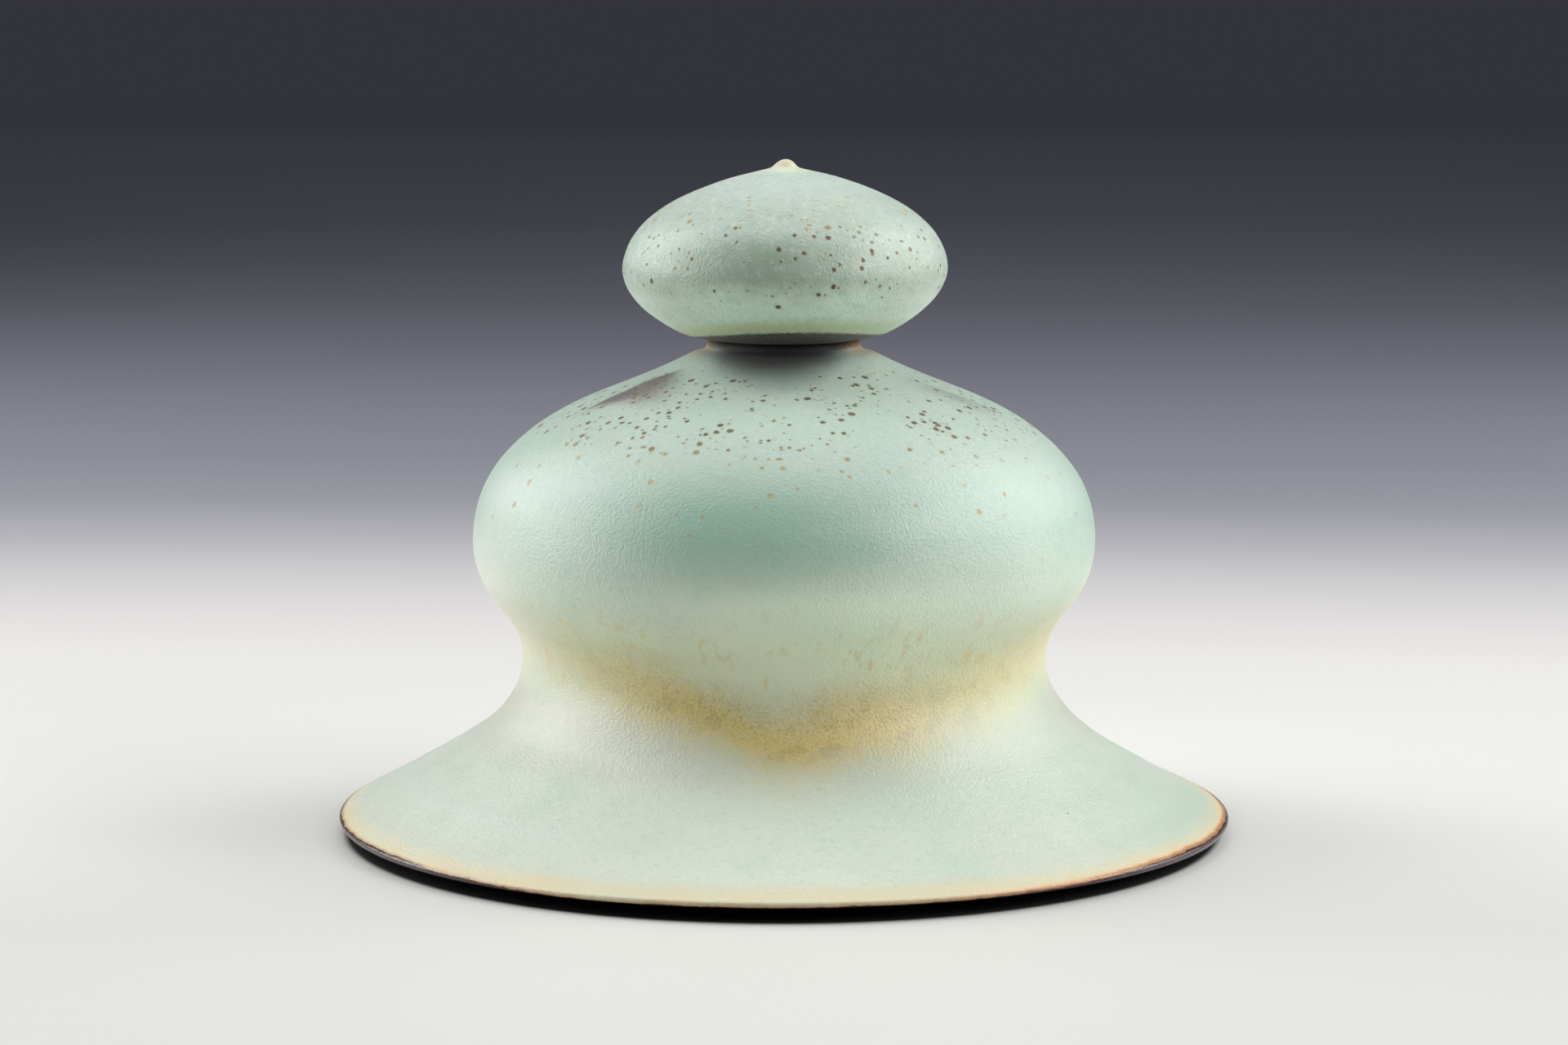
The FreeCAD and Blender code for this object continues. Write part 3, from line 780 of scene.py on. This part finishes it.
        # painted light: a pale patch on the front, above the ochre V
        painted_light_front = g.mul(g.band(g.add(zz, g.mul(wav, 4.0)), 27.0, 36.0, 44.0, 53.0), g.step(g.m("ABSOLUTE", g.add(deg, -7.0)), 6.0, 36.0, 1.0, 0.0))
        col = g.mix(g.mul(painted_light_front, 0.42), col, lin(232, 246, 216))
        dribble = g.mul(g.band(g.add(zz, g.mul(wav, 8.0)), 26.0, 31.0, 36.0, 47.0), g.step(runs, 0.52, 0.68),
                        g.step(g.noise(7.0, 2, shift=61), 0.38, 0.60), g.step(cosn, -0.3, 0.6, 0.5, 1.0))
        col = g.mix(g.mul(dribble, 0.50), col, lin(196, 172, 104))
        # a greener patch on the belly: painted shade at the front, random glaze pools towards the sides and back
        pool_and_painted_shade = g.mul(g.band(zz, 44.0, 56.0, 58.0, 70.0), g.mx(g.step(g.m("ABSOLUTE", g.add(deg, 9.0)), 4.0, 36.0, 1.0, 0.0),
                                                             g.mul(g.step(broad, 0.5, 0.66), g.step(cosn, 0.5, 0.1))))
        col = g.mix(g.mul(pool_and_painted_shade, 0.55), col, lin(124, 168, 145))
        # smoke marks on the shoulder: a blade with a hard upper edge that dusts away below, and a thin one opposite
        edge_th = g.add(-1.23, g.mul(g.step(zz, 78.2, 80.9), 0.16), g.mul(wav2, 0.04))
        from_edge = g.m("SUBTRACT", g.th, edge_th)
        dust = g.m("SUBTRACT", grain, 0.5)
        fade = g.add(from_edge, g.mul(dust, -0.60), g.mul(wav2, 0.12))
        low_z = g.add(zz, g.mul(dust, 2.0), g.mul(wav2, 1.0), g.mul(g.m("MINIMUM", from_edge, 0.20), -9.0))
        high_z = g.add(zz, g.mul(dust, -1.6), g.mul(wav2, 0.8), g.mul(g.m("MINIMUM", from_edge, 0.45), 4.0))
        smoke = g.mul(g.step(from_edge, -0.008, 0.030), g.step(fade, 0.14, 0.62, 1.0, 0.0),
                      g.step(low_z, 72.9, 74.7), g.step(high_z, 79.6, 81.2, 1.0, 0.0))
        tanned = g.mul(g.step(from_edge, -0.008, 0.05), g.step(from_edge, 0.15, 0.55, 1.0, 0.0),
                       g.band(low_z, 72.2, 73.4, 74.4, 76.0))
        edge_r = g.add(1.20, g.mul(g.step(zz, 80.0, 73.0), 0.14))
        gone_r = g.m("SUBTRACT", edge_r, g.th)
        smoke_r = g.mul(g.step(gone_r, -0.015, 0.05), g.step(g.add(gone_r, g.mul(dust, -0.3)), 0.03, 0.34, 1.0, 0.0),
                        g.band(g.add(zz, g.mul(wav2, 2.0), g.mul(dust, 1.6)), 71.4, 75.2, 76.0, 80.2))
        back = g.mul(g.step(g.m("ABSOLUTE", g.m("SUBTRACT", g.m("ABSOLUTE", g.th), 2.72)), 0.05, 0.33, 1.0, 0.0),
                     g.band(g.add(zz, g.mul(wav, 4.0)), 72.0, 75.0, 77.5, 81.0))
        col = g.mix(g.mul(tanned, 0.20), col, lin(176, 160, 116))
        col = g.mix(g.mul(smoke, 0.96), col, g.mix(g.step(grain, 0.38, 0.66), lin(70, 64, 64), lin(112, 106, 102)))
        col = g.mix(g.mul(smoke_r, 0.46), col, lin(108, 102, 88))
        # painted highlight: a pinkish-white sheen on the left flank of the bulb
        pale_and_painted_highlight = g.mul(g.step(deg, -48.0, -70.0), g.step(deg, -130.0, -95.0), g.band(zz, 26.0, 38.0, 58.0, 70.0))
        col = g.mix(g.mul(pale_and_painted_highlight, 0.19), col, lin(234, 220, 224))
        col = g.mix(g.mul(back, g.step(grain, 0.3, 0.7), 0.35), col, lin(112, 104, 100))
        # round the mouth: brown fuming at the sides; at the front, painted shadow from the stopper, near black and
        # reaching further down, and the rim there painted near black too; elsewhere bare toasted clay at the rim
        below = g.add(g.m("SUBTRACT", 85.2, zz), g.mul(wav2, 0.5), g.mul(dust, 0.35))
        cosf = g.m("COSINE", g.add(g.th, 0.087))
        front = g.m("POWER", g.mx(g.m("MULTIPLY_ADD", cosf, 1.724, -0.724), 0.0), 2.33)
        reach = g.m("MULTIPLY_ADD", front, 3.9, 1.4)
        side_on = g.step(cosf, 0.72, 0.25)
        glow = g.mul(g.step(below, 3.6, 1.0), side_on)
        col = g.mix(g.mul(glow, 0.62), col, lin(204, 172, 122))
        fume_and_painted_shadow = g.step(g.m("DIVIDE", below, reach), 1.55, 0.40)
        col = g.mix(g.mul(fume_and_painted_shadow, g.lerp(side_on, 0.97, 0.80)), col, g.mix(side_on, lin(24, 21, 16), lin(104, 80, 52)))
        gap = g.add(g.m("SUBTRACT", RIM_S, s), g.mul(wav2, 1.2))
        rim = g.step(g.add(gap, g.mul(dust, 0.5)), 2.2, 0.8)
        col = g.mix(g.mul(rim, 0.9), col, g.mix(side_on, lin(26, 22, 16), g.mix(g.step(fine, 0.35, 0.7), lin(146, 106, 62), lin(92, 64, 38))))
        rough = g.lerp(g.mx(rim, g.mul(fume_and_painted_shadow, 0.85)), rough, 0.74)
        # towards the lip: cream, then rust where the glaze breaks, then dark gloss
        lipn = g.noise(2.3, 2, 0.6, shift=41)
        lipn2 = g.noise(9.0, 1, 0.5, shift=5)
        ls = g.add(s, g.mul(g.m("SUBTRACT", lipn, 0.5), -0.75), g.mul(g.m("SUBTRACT", lipn2, 0.5), -0.8),
                   g.lerp(g.step(cosn, 0.96, 0.50), 0.30, -1.05))
        cream = g.step(g.add(s, g.mul(wav2, 2.4), g.mul(wav, 2.0)), 1.4, 6.2, 1.0, 0.0)
        col = g.mix(g.mul(cream, 0.74), col, g.mix(g.step(mid, 0.35, 0.65), lin(200, 184, 144), lin(194, 188, 156)))
        burnt = g.step(g.x, 12.0, 50.0)
        col = g.mix(g.mul(burnt, g.step(ls, 0.2, 2.0, 1.0, 0.0), 0.42), col, lin(216, 170, 108))
        rust = g.step(g.add(ls, g.mul(burnt, -0.25)), -0.20, 0.66, 1.0, 0.0)
        col = g.mix(g.mul(rust, 0.85), col, g.mix(burnt, g.mix(lipn2, lin(138, 84, 44), lin(190, 152, 100)), g.mix(lipn2, lin(112, 56, 24), lin(180, 112, 54))))
        dark = g.step(ls, -0.34, -0.04, 1.0, 0.0)
        col = g.mix(dark, col, g.mix(g.step(lipn, 0.4, 0.7), lin(24, 12, 9), lin(60, 26, 15)))
        rough = g.lerp(dark, rough, 0.16)
        patch = g.step(g.noise(11, 1, shift=71), 0.36, 0.58, 0.35, 1.0)
        side = g.step(cosn, -0.6, 0.8, 0.55, 1.0)
        dens = g.mul(g.band(g.add(zz, g.mul(wav, 5.0)), 66.0, 71.5, 78.5, 81.0), patch, side)
        dens2 = g.band(g.add(zz, g.mul(wav, 6.0)), 50.0, 61.0, 69.0, 73.5)
        dark_spot = g.step(g.add(zz, g.mul(wav2, 4.0)), 66.0, 72.5)
        s1 = speckles(g, 1.9, 0.0, 0.30, 0.34, g.mul(dens, 0.95))
        s2 = speckles(g, 1.25, 13.0, 0.18, 0.16, g.mul(dens, 0.55), edge=0.09)
        s3 = speckles(g, 2.2, 29.0, 0.22, 0.30, g.mul(dens2, 0.20))
        holes = speckles(g, 5.0, 47.0, 0.13, 0.10, g.mul(g.band(zz, 4.0, 8.0, 84.0, 86.0), 0.06), edge=0.05)
    else:
        # under the globe the glaze stops in a thick greenish line, and the clay below it is fumed grey
        tilt = g.add(g.mul(g.x, -0.035), g.mul(wav2, 0.35), g.mul(g.m("SUBTRACT", fine, 0.5), 0.22))
        ed = g.add(s, tilt, g.mul(g.m("POWER", g.m("ABSOLUTE", g.m("SINE", g.th)), 2.0), 4.0))
        roll = g.band(ed, 8.1, 9.4, 10.4, 14.2)
        col = g.mix(g.mul(roll, 0.52), col, g.mix(g.step(mid, 0.3, 0.7), lin(182, 188, 120), lin(168, 180, 120)))
        bare = g.step(g.add(ed, g.mul(g.m("SUBTRACT", grain, 0.5), 1.1)), 7.9, 9.0, 1.0, 0.0)
        grey = g.mix(g.step(grain, 0.36, 0.64), lin(48, 47, 38), lin(92, 93, 78))
        # painted shade: the bare clay darkens to near black towards the seat, under the stopper
        grey = g.mix(g.step(s, 1.0, 7.5, 1.0, 0.0), grey, lin(24, 22, 18))
        col = g.mix(bare, col, grey)
        rough = g.lerp(bare, rough, 0.55)
        # the pulled point, where the glaze runs thin over the clay
        nub = g.step(g.add(z, g.mul(wav2, 0.5)), 118.25, 119.1)
        col = g.mix(g.mul(nub, 0.98), col, lin(194, 184, 158))
        ringy = g.mul(g.step(z, 117.4, 118.2), g.step(z, 118.6, 119.2, 1.0, 0.0))
        col = g.mix(g.mul(ringy, 0.45), col, lin(196, 208, 170))
        patch = g.step(g.noise(10, 1, shift=91), 0.30, 0.50, 0.45, 1.0)
        dens = g.mul(g.band(g.add(zz, g.mul(wav, 6.0)), 92.5, 96.0, 105.5, 109.5), patch)
        dark_spot = g.step(g.add(zz, g.mul(wav2, 4.0)), 108.5, 104.5)
        dens2 = g.mul(g.band(g.add(zz, g.mul(wav, 5.0)), 103.0, 106.5, 110.0, 113.0), 1.0)
        s1 = speckles(g, 2.0, 3.0, 0.26, 0.26, g.mul(dens, 0.75))
        s2 = speckles(g, 1.25, 17.0, 0.15, 0.16, g.mul(dens, 0.30), edge=0.09)
        s3 = speckles(g, 1.7, 37.0, 0.20, 0.36, g.mul(dens2, 0.42))
        holes = speckles(g, 5.0, 51.0, 0.13, 0.10, 0.06, edge=0.05)

    spot = g.mx(g.mx(s1[0], g.mul(s2[0], 0.75)), g.mul(s3[0], 0.8))
    halo = g.mx(g.mx(s1[1], g.mul(s2[1], 0.5)), s3[1])
    iron = g.mix(s1[2], lin(56, 48, 38), lin(84, 72, 54))
    tan = g.mix(s1[2], lin(146, 120, 64), lin(164, 142, 86))
    core_col = g.mix(dark_spot, tan, iron)
    col = g.mix(g.mul(halo, 0.40), col, lin(160, 152, 112))
    col = g.mix(g.mul(spot, g.lerp(dark_spot, 0.66, 0.94)), col, core_col)
    col = g.mix(g.mul(holes[1], 0.35), col, lin(210, 222, 205))
    col = g.mix(holes[0], col, lin(34, 58, 44))

    # eggshell skin
    skin = g.add(g.noise(0.50, 1, 0.5, shift=23), g.mul(g.noise(0.28, 1, 0.5, shift=67), 0.40))
    if stopper:
        still = g.m("MULTIPLY_ADD", g.step(z, 117.0, 118.4), -1.0, 1.0)
        skin, mid = g.mul(skin, still), g.mul(mid, still)
    n = g.bump(skin, 0.108)
    n = g.bump(mid, 0.10, normal=n)
    n = g.bump(g.mul(g.add(spot, g.mul(holes[0], 2.5)), -1.0), 0.05, normal=n)
    g.put(g.bsdf.inputs["Specular IOR Level"], 0.5)
    g.put(g.bsdf.inputs["Sheen Weight"], 0.14)
    g.put(g.bsdf.inputs["Sheen Roughness"], 0.45)
    g.put(g.bsdf.inputs["Sheen Tint"], (1.0, 0.87, 0.96, 1.0))
    return g.finish(col, g.add(rough, g.mul(g.m("SUBTRACT", fine, 0.5), 0.12), g.mul(spot, 0.12)), n)


def dark_glaze(name, warm=0.0):
    """Glossy iron-black glaze that breaks to brown where it is thin."""
    g = Nodes(name)
    mid = g.noise(7.0, 3, 0.55)
    fine = g.noise(0.9, 2, 0.5, shift=13)
    col = g.mix(g.step(mid, 0.35, 0.72), lin(12, 9, 8), lin(34, 19, 13))
    rings = g.m("SINE", g.mul(g.r, 1.37))
    col = g.mix(g.mul(g.step(rings, 0.55, 1.0), g.step(mid, 0.3, 0.6), 0.25), col, lin(82, 46, 26))
    col = g.mix(g.mul(g.step(fine, 0.62, 0.8), 0.22), col, lin(96, 64, 40))
    if warm:
        edge = g.step(g.attr("along"), RIM_S + 2.2, RIM_S + 0.6)
        col = g.mix(edge, col, lin(128, 82, 46))
    n = g.bump(g.noise(2.6, 2), 0.06)
    return g.finish(col, g.add(0.15, g.mul(fine, 0.10)), n, Specular_IOR_Level=0.22)


def bare_clay(name):
    """Unglazed stoneware, toasted, with sand in it and the turning tool's lines."""
    g = Nodes(name)
    mid = g.noise(9.0, 3, 0.55)
    fine = g.noise(0.8, 3, 0.6, shift=5)
    sand, scol = g.cells(1.3, g.warp(0.15, 0.8))
    pick = g.split(scol)
    grit = g.mul(g.m("LESS_THAN", pick[0], 0.24), g.step(sand, 0.22, 0.36, 1.0, 0.0))
    col = g.mix(g.step(mid, 0.3, 0.72), lin(150, 112, 82), lin(122, 84, 58))
    col = g.mix(g.mul(g.step(fine, 0.45, 0.75), 0.5), col, lin(182, 150, 118))
    col = g.mix(g.mul(grit, 0.7), col, g.mix(pick[1], lin(60, 44, 34), lin(206, 188, 160)))
    lines = g.m("SINE", g.mul(g.add(g.mul(g.r, 6.2), g.mul(g.z, 6.2)), 1.0))
    n = g.bump(g.add(g.mul(lines, 0.2), g.mul(fine, 0.9), g.mul(grit, 0.8)), 0.09)
    return g.finish(col, g.add(0.78, g.mul(fine, 0.12)), n)


mint_body = mint_glaze("satin_mint_glaze_vessel")
mint_cap = mint_glaze("satin_mint_glaze_stopper", stopper=True)
under_gloss = dark_glaze("dark_gloss_underside")
liner_gloss = dark_glaze("dark_gloss_liner", warm=1.0)
clay = bare_clay("bare_toasted_stoneware")


def zones(o, mats, rule):
    """Material slots by a rule on each face's mean "along"."""
    me = o.data
    for m in mats:
        me.materials.append(m)
    a = np.zeros(len(me.vertices), np.float32)
    me.attributes["along"].data.foreach_get("value", a)
    lt = np.zeros(len(me.polygons), np.int32)
    ls = np.zeros(len(me.polygons), np.int32)
    me.polygons.foreach_get("loop_total", lt)
    me.polygons.foreach_get("loop_start", ls)
    li = np.zeros(len(me.loops), np.int32)
    me.loops.foreach_get("vertex_index", li)
    mean = np.add.reduceat(a[li], ls) / lt
    me.polygons.foreach_set("material_index", rule(mean).astype(np.int32))
    me.update()


zones(vessel, [mint_body, under_gloss, liner_gloss],
      lambda s: np.where(s < -0.62, 1, np.where(s > RIM_S + 1.2, 2, 0)))
zones(cap, [mint_cap, clay], lambda s: np.where(s < -0.4, 1, 0))
foot.data.materials.append(clay)
tenon.data.materials.append(clay)

# ------------------------------------------------------------------ the frame
for piece, slot_name, nodes in (
    (vessel, "satin_mint_glaze", ("flared_base", "bulb")),
    (foot, "bare_stoneware", ("foot_ring",)),
    (cap, "satin_mint_glaze", ("stopper_cap",)),
    (tenon, "bare_stoneware", ("stopper_tenon",)),
):
    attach(piece, "vessel" if piece in (vessel, foot) else "stopper")
    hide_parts(*nodes)

# ------------------------------------------------------------------ stage


def disc(name, radii, z, segs=96):
    co, faces = [(0, 0, z)], []
    for r in radii:
        co += [(r * math.cos(TAU * i / segs), r * math.sin(TAU * i / segs), z) for i in range(segs)]
    for i in range(segs):
        faces.append((0, 1 + i, 1 + (i + 1) % segs))
    for k in range(len(radii) - 1):
        a, b = 1 + k * segs, 1 + (k + 1) * segs
        for i in range(segs):
            j = (i + 1) % segs
            faces.append((a + i, b + i, b + j, a + j))
    me = bpy.data.meshes.new(name)
    me.from_pydata(co, [], faces)
    me.update()
    o = bpy.data.objects.new(name, me)
    SCENE.collection.objects.link(o)
    return o


floor = disc("studio_floor", [0.3, 0.8, 2.0, 6.0], 0.0)
g = Nodes("pale_floor")
sx, sy = g.mul(g.x, 0.0005), g.mul(g.mx(g.y, g.mul(g.y, -0.35)), 0.001)
away = g.add(g.m("SQRT", g.add(g.mul(sx, sx), g.mul(sy, sy))), g.mul(g.x, 0.00007))
FLOOR = [(0.00, 201, 201, 198), (0.08, 199, 199, 196), (0.14, 194, 193, 191), (0.20, 192, 191, 189),
         (0.25, 186, 183, 183), (0.32, 171, 170, 171), (0.39, 150, 149, 154), (0.48, 127, 129, 135),
         (0.59, 119, 121, 130), (0.71, 117, 119, 127), (0.86, 114, 114, 124), (1.04, 110, 111, 121),
         (1.27, 110, 112, 122), (1.57, 121, 124, 136), (1.97, 143, 147, 161), (2.54, 182, 185, 199),
         (3.40, 220, 224, 236)]
# painted shade on the floor: pale near the piece, darkening with distance as the light falls off, paler again far off,
# and a little darker in front of the piece
fcol = g.ramp(g.m("DIVIDE", away, 3.5), [(d / 3.5, lin(r_, g_, b_)) for d, r_, g_, b_ in FLOOR], "LINEAR")
fcol = g.mix(g.step(g.y, -25.0, -95.0), fcol, (0.89, 0.885, 0.88, 1.0), "MULTIPLY")
# the lip keeps the light off the floor beneath it, and the shadow stops short at its edge
ahead = g.m("POWER", g.mx(g.m("DIVIDE", g.mul(g.y, -1.0), g.mx(g.r, 1.0)), 0.0), 3.0)
rr = g.add(g.r, g.mul(ahead, -0.90), g.mul(g.x, 0.004))
fcol = g.mix(g.mul(g.step(rr, 77.8, 79.4, 1.0, 0.0), 0.97), fcol, lin(10, 8, 12))
g.finish(fcol, 0.6, **{"Specular_IOR_Level": 0.2})
back = g.t.nodes.new("ShaderNodeNewGeometry").outputs["Backfacing"]
clear = g.t.nodes.new("ShaderNodeBsdfTransparent")
mixs = g.t.nodes.new("ShaderNodeMixShader")
# seen from below it isn't there, and far off it fades into the backdrop
gone = g.mx(back, g.step(g.mul(g.r, 0.001), 3.0, 5.6))
g.t.links.new(gone, mixs.inputs[0])
g.t.links.new(g.bsdf.outputs[0], mixs.inputs[1])
g.t.links.new(clear.outputs[0], mixs.inputs[2])
g.t.links.new(mixs.outputs[0], g.out.inputs[0])
floor.data.materials.append(g.mat)

world = bpy.data.worlds.new("studio")
SCENE.world = world
world.use_nodes = True
world.node_tree.nodes["Background"].inputs[0].default_value = lin(51, 52, 57)
world.node_tree.nodes["Background"].inputs[1].default_value = 1.0


def softbox(name, at, aim, size, power, tint=(1, 1, 1)):
    li = bpy.data.lights.new(name, "AREA")
    li.shape = "RECTANGLE"
    li.size, li.size_y = size
    li.energy = power
    li.color = tint
    o = bpy.data.objects.new(name, li)
    SCENE.collection.objects.link(o)
    o.location = at
    d = np.array(aim, float) - np.array(at, float)
    from mathutils import Vector
    o.rotation_mode = "QUATERNION"
    o.rotation_quaternion = Vector(d).to_track_quat("-Z", "Y")
    o.visible_camera = False
    return o


CENTRE = (0.0, 0.0, 0.06)
for name, at, size, power in (
    ("left_side", (-1.10, 0.30, 0.45), (0.6, 0.8), 1.50),
    ("left_high", (-0.90, 0.25, 1.00), (0.6, 0.6), 6.40),
    ("left_fore", (-1.00, -0.30, 0.75), (0.6, 0.6), 2.05),
    ("left_low", (-1.10, 0.0, 0.30), (0.8, 0.5), 5.80),
    ("left_back", (-0.95, 0.60, 0.55), (0.6, 0.6), 4.50),
    ("right_side", (1.10, 0.30, 0.45), (0.6, 0.8), 2.00),
    ("right_high", (0.90, 0.25, 1.00), (0.6, 0.6), 6.55),
    ("right_fore", (1.00, -0.30, 0.75), (0.6, 0.6), 4.30),
    ("right_front", (0.90, -0.60, 0.60), (0.6, 0.6), 4.70),
    ("right_low", (1.10, 0.0, 0.30), (0.8, 0.5), 3.10),
    ("right_back", (0.95, 0.60, 0.55), (0.6, 0.6), 2.55),
    ("front_fill", (0.10, -1.25, 0.70), (1.2, 0.6), 1.40),
    ("top", (0.0, 0.10, 1.25), (0.9, 0.7), 4.55),
    ("top_back", (0.0, 0.90, 1.10), (1.0, 0.5), 2.10),
):
    softbox("softbox_" + name, at, CENTRE, size, power)

# ------------------------------------------------------------------ camera
cam_data = bpy.data.cameras.new("camera")
cam = bpy.data.objects.new("camera", cam_data)
SCENE.collection.objects.link(cam)
cam_data.sensor_width = 36.0
cam_data.lens = 4962.0 / 1920.0 * 36.0
cam.location = (0.0, -0.72, 0.1452 + 0.003)
cam.rotation_euler = (math.radians(90 - 7.37), 0.0, 0.0)
SCENE.camera = cam
SCENE.view_settings.view_transform = "Standard"
SCENE.view_settings.look = "None"
